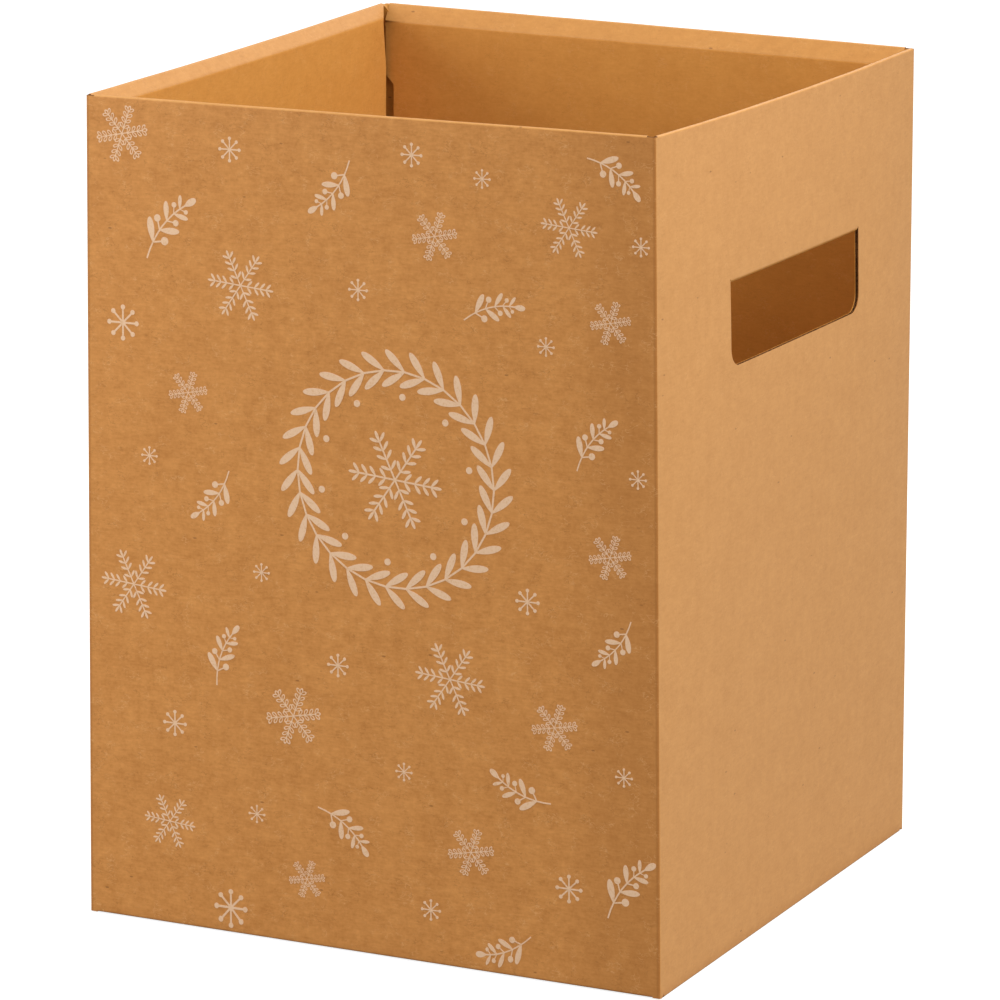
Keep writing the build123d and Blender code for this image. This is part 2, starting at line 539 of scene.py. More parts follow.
@dataclass(frozen=True)
class PaleInk(PaperFinish):
    """One pass of thin pale ink, through which the paper's clots and fibres show."""

    name: str = "pale_ink"
    ink: Colour = (0.77, 0.515, 0.325)
    paper: Colour = (0.57, 0.27, 0.09)
    thin_spots: Grain = Grain(1.3, 3.0, 0.6)
    pulp_share: float = 0.35
    cover_limits: tuple[float, float] = (0.3, 0.72)
    cover_shares: tuple[float, float] = (0.45, 1.0)
    roughness_range: tuple[float, float] = (0.6, 0.5)
    sheen: float = 0.25
    rise: float = 0.03 * MM
    bump_strength: float = 0.4

    def shade(self, graph: Graph) -> bpy.types.Node:
        """Fills the material's tree.

        Args:
            graph: The tree.

        Returns:
            The shader node.
        """
        place = graph.place()
        pulp = KraftPulp().put_in(graph, {"Place": place, "Contrast": 1.0})
        starved = self.thin_spots.on(graph, graph.in_millimetres(place))
        uneven = graph.math("MULTIPLY_ADD", pulp["Tone"], self.pulp_share, starved)
        cover = graph.ramp(uneven, *self.cover_limits)
        colour = graph.mix(graph.spread(cover, *self.cover_shares), self.paper, self.ink)
        return self.surface(graph, colour, graph.spread(cover, *self.roughness_range), pulp["Height"])


@dataclass(frozen=True)
class Stray:
    """How far one upright corner strays from square, in millimetres to the right, to the back and up."""

    rim: tuple[float, float, float]
    foot: tuple[float, float, float] = (0.0, 0.0, 0.0)

    def at(self, share: float) -> Vector:
        """Gives the corner's shift at a share of its height, in metres."""
        return Vector(self.foot).lerp(Vector(self.rim), share) * MM


@dataclass(frozen=True)
class Settling:
    """How the standing box gives a little: it leans, its side rims hang and its right wall bows out."""

    half_width: float
    half_depth: float
    height: float
    front_left: Stray = Stray((2.7, 0.8, -1.0), (-0.3, -0.9, 0.0))
    front_right: Stray = Stray((-2.2, -0.1, 1.2), (1.4, 0.4, 0.0))
    back_right: Stray = Stray((-1.8, -1.3, -0.6), (-1.4, -0.6, 0.0))
    back_left: Stray = Stray((1.6, 1.6, 1.1))
    right_bow: tuple[float, float, float] = (2.6, 0.0, -1.7)
    bow_rise: float = 1.6
    bow_flatness: int = 4
    right_sag: float = 1.4 * MM
    left_sag: float = 0.7 * MM
    reach: float = 45.0 * MM
    ripple: float = 0.14 * MM
    ripple_length: float = 24.0 * MM
    ripple_reach: float = 12.0 * MM
    fold_foot: float = 1.5 * MM
    fold_top: float = 3.0 * MM
    fold_fade: float = 12.0 * MM
    fold_press: float = 1.1 * MM

    def moved(self, point: Vector) -> Vector:
        """Gives where a point of the true form comes to lie.

        Args:
            point: The point on the true form.

        Returns:
            The point on the settled box.
        """
        sag = self.right_sag if point.x > 0 else self.left_sag
        bow = 1.0 - min(abs(point.y) / self.half_depth, 1.0) ** 2
        drop = sag * bow * eased(self.height - self.reach, self.height, point.z)
        drop += self.rippled(point) * eased(self.height - self.ripple_reach, self.height, point.z)
        drop += self.pressed(point)
        return point + self.strayed(point) + self.bowed(point) - Vector((0.0, 0.0, drop))

    def strayed(self, point: Vector) -> Vector:
        """Gives a point's shift, spread evenly between the four corners.

        Args:
            point: The point on the true form.

        Returns:
            The shift.
        """
        right = 0.5 + 0.5 * point.x / self.half_width
        back = 0.5 + 0.5 * point.y / self.half_depth
        up = point.z / self.height
        front_shift = self.front_left.at(up).lerp(self.front_right.at(up), right)
        back_shift = self.back_left.at(up).lerp(self.back_right.at(up), right)
        return front_shift.lerp(back_shift, back)

    def bowed(self, point: Vector) -> Vector:
        """Gives a point's shift with the right wall, which goes out and down, most of all above its middle.

        Args:
            point: The point on the true form.

        Returns:
            The shift.
        """
        right = max(point.x / self.half_width, 0.0)
        across = min(abs(point.y) / self.half_depth, 1.0)
        up = min(max(point.z / self.height, 0.0), 1.0)
        share = right * (1.0 - across ** self.bow_flatness) * math.sin(math.pi * up ** self.bow_rise)
        return Vector(self.right_bow) * MM * share

    def pressed(self, point: Vector) -> float:
        """Gives the drop of the base's front and back folds, which the box's weight presses to the floor.

        Args:
            point: The point on the true form.

        Returns:
            The drop, which is full at the fold and fades up the wall and into the flap.
        """
        from_end = self.half_depth - abs(point.y)
        inward = 1.0 - eased(self.fold_foot, self.fold_top, from_end)
        upward = 1.0 - eased(self.fold_top, self.fold_fade, point.z)
        off_floor = eased(self.fold_foot - self.fold_press, self.fold_foot, point.z)
        return self.fold_press * inward * upward * off_floor

    def rippled(self, point: Vector) -> float:
        """Gives the drop of the rim's slight waves, which never rise above the true form."""
        wave = noise.noise(Vector((point.x, point.y, 0.0)) / self.ripple_length)
        return self.ripple * (0.5 + 0.5 * wave)


@dataclass(frozen=True)
class CutStrip:
    """A straight stretch of the core at a cut: its middle, its directions and its size."""

    middle: Vector
    along: Vector
    across: Vector
    outward: Vector
    length: float
    width: float
    tolerance_share: ClassVar[float] = 0.3

    @classmethod
    def of_face(cls, face: bmesh.types.BMFace, width: float) -> "CutStrip | None":
        """Reads a strip from a face.

        Args:
            face: The face of the core, set back from the cut.
            width: The space between the liners.

        Returns:
            The strip, or None if the face bends round a fold.
        """
        middle = face.calc_center_median()
        for axis in (Vector((1, 0, 0)), Vector((0, 1, 0)), Vector((0, 0, 1))):
            heights = [(vert.co - middle).dot(axis) for vert in face.verts]
            extent = max(heights) - min(heights)
            fits = abs(extent - width) < cls.tolerance_share * width
            if fits and abs(axis.dot(face.normal)) < SIDEWAYS_FACING:
                along = axis.cross(face.normal).normalized()
                reach = [(vert.co - middle).dot(along) for vert in face.verts]
                centre = middle + axis * (max(heights) + min(heights)) / 2
                centre += along * (max(reach) + min(reach)) / 2
                return cls(centre, along, axis, face.normal.copy(), max(reach) - min(reach), width)
        return None

    def flute_axis(self, board: float) -> Vector:
        """Gives the direction across the flutes, which run from rim to base in every wall.

        Args:
            board: The board's thickness, which tells the two layers of the base apart.

        Returns:
            The unit vector across the flutes.
        """
        side_layer = self.across.z > 0 and self.middle.z < board
        return Vector((0, 1, 0)) if self.across.x > 0 or side_layer else Vector((1, 0, 0))


@dataclass
class Fluting:
    """The wavy middle paper that shows between the liners at the cuts."""

    board: float
    setback: float
    settling: Settling
    finish: Finish
    pitch: float = 3.3 * MM
    paper: float = 0.2 * MM
    shy: float = 0.12 * MM
    steps_a_wave: int = 8
    name: str = "carton_fluting"
    verts: list[Vector] = field(default_factory=list)
    faces: list[tuple[int, ...]] = field(default_factory=list)

    def add_strip(self, strip: CutStrip) -> None:
        """Adds the paper along one strip.

        Args:
            strip: The strip to fill.
        """
        axis = strip.flute_axis(self.board)
        waves = abs(strip.along.dot(axis)) * strip.length / self.pitch
        count = max(2, math.ceil(waves * self.steps_a_wave) + 1)
        swing = (strip.width - self.paper) / 2
        foot = len(self.verts)
        for index in range(count):
            point = strip.middle + strip.along * strip.length * (index / (count - 1) - 0.5)
            phase = 2 * math.pi * point.dot(axis) / self.pitch
            lean = strip.along.dot(axis) * swing * math.cos(phase) * 2 * math.pi / self.pitch
            half = self.paper / 2 * math.sqrt(1.0 + lean * lean)
            offset = swing * math.sin(phase)
            for side, rise in ((-half, 0.0), (half, 0.0), (half, 1.0), (-half, 1.0)):
                place = max(min(offset + side, strip.width / 2), -strip.width / 2)
                lifted = strip.outward * rise * (self.setback - self.shy)
                self.verts.append(point + strip.across * place + lifted)
        self.add_faces(foot, count)

    def add_faces(self, foot: int, count: int) -> None:
        """Closes a run of four-cornered sections into a solid strip.

        Args:
            foot: The index of the run's first vertex.
            count: How many sections it has.
        """
        for index in range(count - 1):
            near, far = foot + 4 * index, foot + 4 * index + 4
            for side in range(4):
                turn = (side + 1) % 4
                self.faces.append((near + side, near + turn, far + turn, far + side))
        end = foot + 4 * (count - 1)
        self.faces.append((foot + 3, foot + 2, foot + 1, foot))
        self.faces.append((end, end + 1, end + 2, end + 3))

    def build(self) -> bpy.types.Object:
        """Makes the piece from the strips added so far.

        Returns:
            The piece.
        """
        mesh = bpy.data.meshes.new(self.name)
        mesh.from_pydata([self.settling.moved(vert) for vert in self.verts], [], self.faces)
        bm = bmesh.new()
        bm.from_mesh(mesh)
        bmesh.ops.recalc_face_normals(bm, faces=bm.faces)
        bm.to_mesh(mesh)
        bm.free()
        keep_true_form(mesh, self.verts)
        mesh.materials.append(self.finish.material())
        piece = add_piece(self.name, mesh)
        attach(piece, ROOT_BODY)
        return piece


class BoardFace(Enum):
    """The kinds of face that the board has, numbered as its finishes are; their colours also carry painted
    light.
    """

    LINER = 0
    CORE = 1
    FRONT = 2
    STRIP = 3
    FLAP = 4
    INSIDE = 5


@dataclass
class Carton:
    """The folded board, with its cuts opened to show two liners and the core between them."""

    finishes: Mapping[BoardFace, Finish]
    settling: Settling
    inside_depth: float = 1.0 * MM
    flap_depth: float = 4.8 * MM
    flap_reach: float = 50.0 * MM
    strip_reach: float = 20.0 * MM
    strip_slope: float = 0.3
    front_facing: float = 0.7
    corner_reach: float = 9.0 * MM
    corner_foot: float = 2.25 * MM
    corner_top_gap: float = 0.15 * MM
    strip_end_depth: float = 0.45 * MM
    foot_gap: float = 0.4 * MM
    base_top: float = 3.0 * MM
    board: float = 1.5 * MM
    liner: float = 0.22 * MM
    setback: float = 0.9 * MM
    wall_step: float = 0.02 * MM
    least_cut_area: float = 9.5 * MM * MM
    cut_grid: float = 7.5 * MM
    cut_start_share: float = 0.5
    cut_angles: tuple[float, float] = (math.radians(60.0), math.radians(120.0))
    cut_width_tolerance_share: float = 0.05
    cut_side_share: float = 0.8
    weld_gap: float = 0.002 * MM
    flat_angle: float = math.radians(0.2)
    sharp_angle: float = math.radians(32.0)
    upright_facing: float = 0.02
    name: str = "carton_board"

    def build(self) -> list[bpy.types.Object]:
        """Makes the board and its fluting.

        Returns:
            The two pieces.
        """
        bm = bmesh.new()
        bm.from_mesh(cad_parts[CARTON_NODE].data)
        bmesh.ops.remove_doubles(bm, verts=bm.verts, dist=self.weld_gap)
        bmesh.ops.dissolve_limit(bm, angle_limit=self.flat_angle, verts=bm.verts, edges=bm.edges)
        for face in bm.faces:
            face.material_index = BoardFace.LINER.value
        cores = self.open_cuts(bm)
        self.let_down_corners(bm)
        fluting = Fluting(self.board, self.setback, self.settling, self.finishes[BoardFace.CORE])
        for face in cores:
            strip = CutStrip.of_face(face, self.board - 2 * self.liner)
            if strip is not None:
                fluting.add_strip(strip)
        self.divide(bm)
        for face in bm.faces:
            if face.material_index == BoardFace.LINER.value:
                face.material_index = self.kind_of(face).value
        return [self.dressed(bm), fluting.build()]

    def kind_of(self, face: bmesh.types.BMFace) -> BoardFace:
        """Tells which finish a face takes, by where it lies and which way it faces.

        Args:
            face: The face, which isn't a cut.

        Returns:
            The outer liner, the printed front, a strip of the rim, a flap's face, or the rest of the inside.
        """
        middle = face.calc_center_median()
        depth = min(self.behind_walls(middle))
        below_rim = self.settling.height - middle.z
        if below_rim < self.strip_reach and face.normal.z > self.strip_slope:
            return BoardFace.STRIP
        over_hole = face.normal.z < -self.strip_slope and middle.z > self.strip_reach
        under_base = face.normal.z < -self.front_facing and middle.z < self.base_top
        if under_base or min(depth, middle.z) < self.inside_depth and not over_hole:
            return BoardFace.FRONT if face.normal.y < -self.front_facing else BoardFace.LINER
        inward = face.normal.x * middle.x + face.normal.y * middle.y < 0
        if inward and depth > self.flap_depth and below_rim < self.flap_reach:
            return BoardFace.FLAP
        return BoardFace.INSIDE

    def behind_walls(self, point: Vector) -> tuple[float, float]:
        """Gives how far a point lies behind the outer face of a side wall, and of the front or back wall."""
        return self.settling.half_width - abs(point.x), self.settling.half_depth - abs(point.y)

    def open_cuts(self, bm: bmesh.types.BMesh) -> list[bmesh.types.BMFace]:
        """Sets the core back between the liners at every long cut.

        Args:
            bm: The board.

        Returns:
            The faces of the core.
        """
        bm.normal_update()
        cuts = [face for face in bm.faces if self.is_cut(face) and CutStrip.of_face(face, self.board)]
        cuts = [face for face in cuts if not self.is_corner_foot(face)]
        cuts = self.long_runs(cuts)
        bmesh.ops.inset_region(bm, faces=cuts, thickness=self.liner, use_boundary=True)
        walls = bmesh.ops.inset_region(bm, faces=cuts, thickness=self.wall_step, depth=-self.setback,
                                       use_boundary=True)["faces"]
        bm.normal_update()
        # The short cuts at the rim's corners stay closed but take the dark core finish whole, as painted
        # shade of the slits there.
        short_cuts = [face for face in bm.faces if self.is_rim_corner_cut(face)]
        for face in [*cuts, *walls, *short_cuts]:
            face.material_index = BoardFace.CORE.value
        return cuts

    def is_rim_corner_cut(self, face: bmesh.types.BMFace) -> bool:
        """Tells whether a face is one of the short cuts at a corner of the rim, which are too small to open.

        Args:
            face: The face to test.

        Returns:
            True for the top of a corner's fold and for the ends of the rim's strips.
        """
        middle = face.calc_center_median()
        from_side, from_end = self.behind_walls(middle)
        below_rim = self.settling.height - middle.z
        if max(from_side, from_end, below_rim) > self.corner_reach:
            return False
        if face.normal.z > SQUARE_FACING:
            return below_rim > self.corner_top_gap and max(from_side, from_end) < self.board
        along_wall = abs(face.normal.x if from_side < from_end else face.normal.y) > SQUARE_FACING
        upright = abs(face.normal.z) < self.upright_facing
        return upright and not along_wall and min(from_side, from_end) > self.strip_end_depth

    def let_down_corners(self, bm: bmesh.types.BMesh) -> None:
        """Lets the feet of the upright corners down to the floor, where the weight of the box presses them.

        Args:
            bm: The board.
        """
        facing_down = [face for face in bm.faces if face.normal.z < -SQUARE_FACING]
        for face in [face for face in facing_down if self.is_corner_foot(face)]:
            if face.calc_center_median().z > self.corner_foot:
                for item in bmesh.ops.extrude_face_region(bm, geom=[face])["geom"]:
                    if isinstance(item, bmesh.types.BMVert):
                        item.co.z = self.foot_gap
        bm.normal_update()

    def is_corner_foot(self, face: bmesh.types.BMFace) -> bool:
        """Tells whether a face lies at the foot of an upright corner, where the folds close the cut."""
        middle = face.calc_center_median()
        return max(*self.behind_walls(middle), middle.z) < self.corner_reach

    def is_cut(self, face: bmesh.types.BMFace) -> bool:
        """Tells whether a face is a cut edge: as wide as the board is thick between its sharp sides.

        Args:
            face: The face to test.

        Returns:
            True for a cut edge.
        """
        least, most = self.cut_angles
        slack = self.cut_width_tolerance_share * self.board
        total, fitting = 0.0, 0.0
        for loop in face.loops:
            if least < loop.edge.calc_face_angle(0.0) < most:
                total += loop.edge.calc_length()
                if abs(self.width_at(face, loop) - self.board) < slack:
                    fitting += loop.edge.calc_length()
        return total > 0 and fitting > self.cut_side_share * total

    @staticmethod
    def width_at(face: bmesh.types.BMFace, loop: bmesh.types.BMLoop) -> float:
        """Measures straight across a face from the middle of one of its sides.

        Args:
            face: The face.
            loop: The side to start from.

        Returns:
            The distance to the opposite side.
        """
        start, end = loop.vert.co, loop.link_loop_next.vert.co
        middle, side = (start + end) / 2, (end - start).normalized()
        inward = face.normal.cross(side)
        widths = []
        for other in face.loops:
            first, second = other.vert.co - middle, other.link_loop_next.vert.co - middle
            before, after = first.dot(side), second.dot(side)
            if other is not loop and before * after <= 0 and before != after:
                depth = first.lerp(second, before / (before - after)).dot(inward)
                if depth > 0:
                    widths.append(depth)
        return min(widths, default=0.0)

    def long_runs(self, faces: list[bmesh.types.BMFace]) -> list[bmesh.types.BMFace]:
        """Leaves out cut faces that belong to short runs, such as the tops of the corners.

        Args:
            faces: All cut faces.

        Returns:
            The faces of the long runs.
        """
        waiting, kept = set(faces), []
        for face in faces:
            if face not in waiting:
                continue
            run, edge_of_run = [], [face]
            waiting.discard(face)
            while edge_of_run:
                current = edge_of_run.pop()
                run.append(current)
                near = {other for edge in current.edges for other in edge.link_faces} & waiting
                waiting -= near
                edge_of_run.extend(sorted(near, key=lambda other: other.index))
            if sum(item.calc_area() for item in run) > self.least_cut_area:
                kept.extend(run)
        return kept

    def divide(self, bm: bmesh.types.BMesh) -> None:
        """Cuts the board across at even steps along all three axes, so that it can bend.

        Args:
            bm: The board.
        """
        low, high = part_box(CARTON_NODE)
        for axis in range(3):
            normal = Vector((0.0, 0.0, 0.0))
            normal[axis] = 1.0
            for step in range(int((high[axis] - low[axis]) / self.cut_grid)):
                point = normal * (high[axis] - (step + self.cut_start_share) * self.cut_grid)
                geometry = [*bm.verts, *bm.edges, *bm.faces]
                bmesh.ops.bisect_plane(bm, geom=geometry, dist=self.weld_gap, plane_co=point,
                                       plane_no=normal)

    def dressed(self, bm: bmesh.types.BMesh) -> bpy.types.Object:
        """Turns the board into the piece that stands for the carton.

        Args:
            bm: The board.

        Returns:
            The piece.
        """
        mesh = bpy.data.meshes.new(self.name)
        true_points = [vert.co.copy() for vert in bm.verts]
        for vert in bm.verts:
            vert.co = self.settling.moved(vert.co)
        bm.normal_update()
        bm.to_mesh(mesh)
        bm.free()
        keep_true_form(mesh, true_points)
        for kind in BoardFace:
            mesh.materials.append(self.finishes[kind].material())
        mesh.shade_smooth()
        mesh.set_sharp_from_angle(angle=self.sharp_angle)
        piece = add_piece(self.name, mesh)
        even = piece.modifiers.new("even_normals", "WEIGHTED_NORMAL")
        even.keep_sharp = True
        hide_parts(CARTON_NODE)
        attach(piece, ROOT_BODY)
        return piece


def direction(azimuth: float, elevation: float) -> Vector:
    """Gives the direction from the box to a viewpoint.

    Args:
        azimuth: Degrees round from the front, towards the right-hand wall.
        elevation: Degrees above the floor.

    Returns:
        The unit vector.
    """
    turn, rise = math.radians(azimuth), math.radians(elevation)
    return Vector((math.sin(turn) * math.cos(rise), -math.cos(turn) * math.cos(rise), math.sin(rise)))


def pointing(angle: float) -> Vector:
    """Gives the unit vector on the front wall, across it and up it, at an angle in radians."""
    return Vector((math.cos(angle), math.sin(angle)))


@dataclass(frozen=True)
class PhotoCamera:
    """The photograph's viewpoint: its direction and distance, and how far it aims beside the middle."""

    middle: Vector
    azimuth: float = 26.517
    elevation: float = 13.59
    distance: float = 2.0461
    aim_right: float = 3.4 * MM
    aim_down: float = -9.0 * MM
    focal_pixels: float = 5617.6

    def axes(self) -> tuple[Vector, Vector, Vector]:
        """Gives the picture's own directions.

        Returns:
            The unit vectors to the right, down and back out of the picture.
        """
        back = direction(self.azimuth, self.elevation)
        right = (-back).cross(Vector((0, 0, 1))).normalized()
        return right, (-back).cross(right), back

    def eye(self) -> Vector:
        """Gives the viewpoint."""
        right, down, back = self.axes()
        return self.middle - right * self.aim_right - down * self.aim_down + back * self.distance

    def sight(self, pixel: Pixel) -> Vector:
        """Gives the direction in which a pixel looks.

        Args:
            pixel: The pixel of the photograph.

        Returns:
            The direction, of any length.
        """
        right, down, back = self.axes()
        across, below = pixel[0] - PHOTO_SIZE / 2, pixel[1] - PHOTO_SIZE / 2
        return right * across + down * below - back * self.focal_pixels

    def build(self) -> bpy.types.Object:
        """Makes the scene's camera.

        Returns:
            The camera.
        """
        data = bpy.data.cameras.new("photo_camera")
        data.sensor_width = SENSOR_WIDTH
        data.lens = self.focal_pixels / PHOTO_SIZE * SENSOR_WIDTH
        camera = bpy.data.objects.new("photo_camera", data)
        bpy.context.scene.collection.objects.link(camera)
        camera.location = self.eye()
        camera.rotation_euler = (-self.axes()[2]).to_track_quat("-Z", "Y").to_euler()
        bpy.context.scene.camera = camera
        return camera


@dataclass(frozen=True)
class PrintedWall:
    """The front wall as it settled, on which the print is placed by the photograph's pixels."""

    face: float
    camera: PhotoCamera
    settling: Settling
    rounds: int = 5

    def place(self, pixel: Pixel) -> Vector:
        """Finds the place on the true wall that a pixel shows once the box has settled.

        Args:
            pixel: The pixel.

        Returns:
            The place, across the wall and up it, in metres.
        """
        eye, sight = self.camera.eye(), self.camera.sight(pixel)
        point, shift = Vector(), Vector()
        for _ in range(self.rounds):
            point = eye + sight * ((self.face + shift.y - eye.y) / sight.y) - shift
            shift = self.settling.moved(point) - point
        return Vector((point.x, point.z))


@dataclass
class InkSheet:
    """A set of flat ink fields on the front wall, each a thin closed prism."""

    name: str
    wall: PrintedWall
    finish: Finish
    film: float = 0.03 * MM
    layer: float = 0.002 * MM
    layers: int = 41
    dot_sides: int = 14
    leaf_edge_shares: tuple[float, ...] = (0.0, 0.15, 0.3, 0.45, 0.6, 0.72, 0.83, 0.91, 0.97)
    leaf_fullest_share: float = 0.6
    leaf_root_share: float = 0.12
    line_end_share: float = 1.5
    fields: int = 0
    verts: list[Vector] = field(default_factory=list)
    faces: list[tuple[int, ...]] = field(default_factory=list)

    def raised(self, outline: Sequence[Vector]) -> tuple[range, range]:
        """Adds an outline's points on the ink's face and again inside the wall.

        Args:
            outline: The outline's points, across the wall and up it.

        Returns:
            The indices of the points on the face, and of those inside the wall.
        """
        foot, count = len(self.verts), len(outline)
        front = self.wall.face - self.film - self.fields % self.layers * self.layer
        for depth in (front, self.wall.face + self.film):
            self.verts.extend(Vector((point.x, depth, point.y)) for point in outline)
        return range(foot, foot + count), range(foot + count, foot + 2 * count)

    def fill(self, outline: Sequence[Vector]) -> None:
        """Fills an outline with ink, at another level than the fields before it, so that they can overlap.

        Args:
            outline: The outline's points, anticlockwise as seen from the front.
        """
        face, root = self.raised(outline)
        self.fields += 1
        self.faces.append(tuple(face))
        self.faces.append(tuple(reversed(root)))
        for near, far in zip(range(len(face)), (*range(1, len(face)), 0)):
            self.faces.append((face[far], face[near], root[near], root[far]))

    def ring(self, outer: Sequence[Vector], inner: Sequence[Vector]) -> None:
        """Prints the line between two outlines of as many points, one inside the other.

        Args:
            outer: The outer outline, anticlockwise as seen from the front.
            inner: The inner outline, the same way round.
        """
        outer_face, outer_root = self.raised(outer)
        inner_face, inner_root = self.raised(inner)
        self.fields += 1
        for near, far in zip(range(len(outer)), (*range(1, len(outer)), 0)):
            self.faces.append((outer_face[near], outer_face[far], inner_face[far], inner_face[near]))
            self.faces.append((outer_root[far], outer_root[near], inner_root[near], inner_root[far]))
            self.faces.append((outer_face[far], outer_face[near], outer_root[near], outer_root[far]))
            self.faces.append((inner_face[near], inner_face[far], inner_root[far], inner_root[near]))

    def dot(self, centre: Vector, radius: float) -> None:
        """Prints a round dot.

        Args:
            centre: Its middle.
            radius: Its radius.
        """
        turns = [2 * math.pi * index / self.dot_sides for index in range(self.dot_sides)]
        self.fill([centre + pointing(turn) * radius for turn in turns])

    def stroke(self, start: Vector, end: Vector, width: float) -> None:
        """Prints a straight stroke with a rounded far end.

        Args:
            start: Where it starts.
            end: Where it ends.
            width: Its width.
        """
        run = (end - start).normalized()
        side = Vector((-run.y, run.x)) * width / 2
        nose = run * width / 2
        self.fill([start - side, end - side, end + nose, end + side, start + side])

    def leaf(self, base: Vector, angle: float, length: float, width: float, line: float = 0.0) -> None:
        """Prints a leaf that is fullest beyond its middle.

        Args:
            base: Where it grows from.
            angle: The direction that it points in, in radians.
            length: Its length.
            width: Its greatest width.
            line: The width of its outline, or 0 for a leaf that is filled.
        """
        outer = self.leaf_outline(base, angle, length, width)
        if line:
            end = self.line_end_share * line
            start = base + pointing(angle) * end
            self.ring(outer, self.leaf_outline(start, angle, length - 2 * end, width - 2 * line))
        else:
            self.fill(outer)

    def leaf_outline(self, base: Vector, angle: float, length: float, width: float) -> list[Vector]:
        """Draws a leaf's outline.

        Args:
            base: Where it grows from.
            angle: The direction that it points in, in radians.
            length: Its length.
            width: Its greatest width.

        Returns:
            The outline's points, anticlockwise.
        """
        run = pointing(angle)
        side = Vector((-run.y, run.x))
        root, fullest = self.leaf_root_share, self.leaf_fullest_share
        edge = []
        for share in self.leaf_edge_shares:
            swell = root + (1.0 - root) * math.sin(math.pi / 2 * min(share / fullest, 1.0))
            taper = math.sqrt(1.0 - (max(share - fullest, 0.0) / (1.0 - fullest)) ** 2)
            edge.append((share, width / 2 * swell * taper))
        lower = [base + run * length * share - side * half for share, half in edge]
        upper = [base + run * length * share + side * half for share, half in reversed(edge)]
        return [*lower, base + run * length, *upper]

    def build(self) -> bpy.types.Object:
        """Makes the piece from the fields added so far.

        Returns:
            The piece.
        """
        mesh = bpy.data.meshes.new(self.name)
        mesh.from_pydata([self.wall.settling.moved(vert) for vert in self.verts], [], self.faces)
        keep_true_form(mesh, self.verts)
        mesh.materials.append(self.finish.material())
        piece = add_piece(self.name, mesh)
        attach(piece, ROOT_BODY)
        return piece


@dataclass(frozen=True)
class FlakeCut:
    """How a snowflake's arms are leaved, in shares of its radius, and how far it is turned."""

    station_shares: tuple[float, ...]
    leaf_length_share: float
    leaf_width_share: float
    line_share: float
    turn: float


class FlakeStyle(Enum):
    """The print's two styles of snowflake: slim leaves that are filled, and broad ones drawn as outlines."""

    OPEN = FlakeCut((0.20, 0.42, 0.60, 0.78), 0.23, 0.066, 0.0, math.radians(-5.0))
    DENSE = FlakeCut((0.20, 0.40, 0.60, 0.80), 0.24, 0.12, 0.03, math.radians(11.0))


@dataclass(frozen=True)
class Snowflake:
    """Six leaved arms round a middle."""

    pixel: Pixel
    across: float
    style: FlakeStyle = FlakeStyle.DENSE
    arms: int = 6
    splay: float = math.radians(50.0)
    stem_share: float = 0.036
    stem_reach_share: float = 0.84
    tip_share: float = 0.78
    tip_leaf_share: float = 0.24

    def draw(self, sheet: InkSheet) -> None:
        """Prints the snowflake.

        Args:
            sheet: The sheet of ink to add it to.
        """
        centre, radius, cut = sheet.wall.place(self.pixel), self.across / 2, self.style.value
        length, width, line = (share * radius for share in
                               (cut.leaf_length_share, cut.leaf_width_share, cut.line_share))
        for arm in range(self.arms):
            angle = cut.turn + 2 * math.pi * arm / self.arms
            run = pointing(angle) * radius
            sheet.stroke(centre, centre + run * self.stem_reach_share, self.stem_share * radius)
            sheet.leaf(centre + run * self.tip_share, angle, self.tip_leaf_share * radius, width, line)
            for station in cut.station_shares:
                for splay in (self.splay, -self.splay):
                    sheet.leaf(centre + run * station, angle + splay, length, width, line)


@dataclass(frozen=True)
class Star:
    """Eight thin arms with a round dot at each tip."""

    pixel: Pixel
    across: float
    arms: int = 8
    stroke_share: float = 0.11
    dot_share: float = 0.14

    def draw(self, sheet: InkSheet) -> None:
        """Prints the star.

        Args:
            sheet: The sheet of ink to add it to.
        """
        centre, radius = sheet.wall.place(self.pixel), self.across / 2
        reach = radius * (1.0 - self.dot_share)
        for arm in range(self.arms):
            angle = 2 * math.pi * arm / self.arms
            tip = centre + pointing(angle) * reach
            sheet.stroke(centre, tip, self.stroke_share * radius)
            sheet.dot(tip, self.dot_share * radius)


class Growth(Enum):
    """What grows from a sprig's stem."""

    LEAF = "leaf"
    BERRY = "berry"


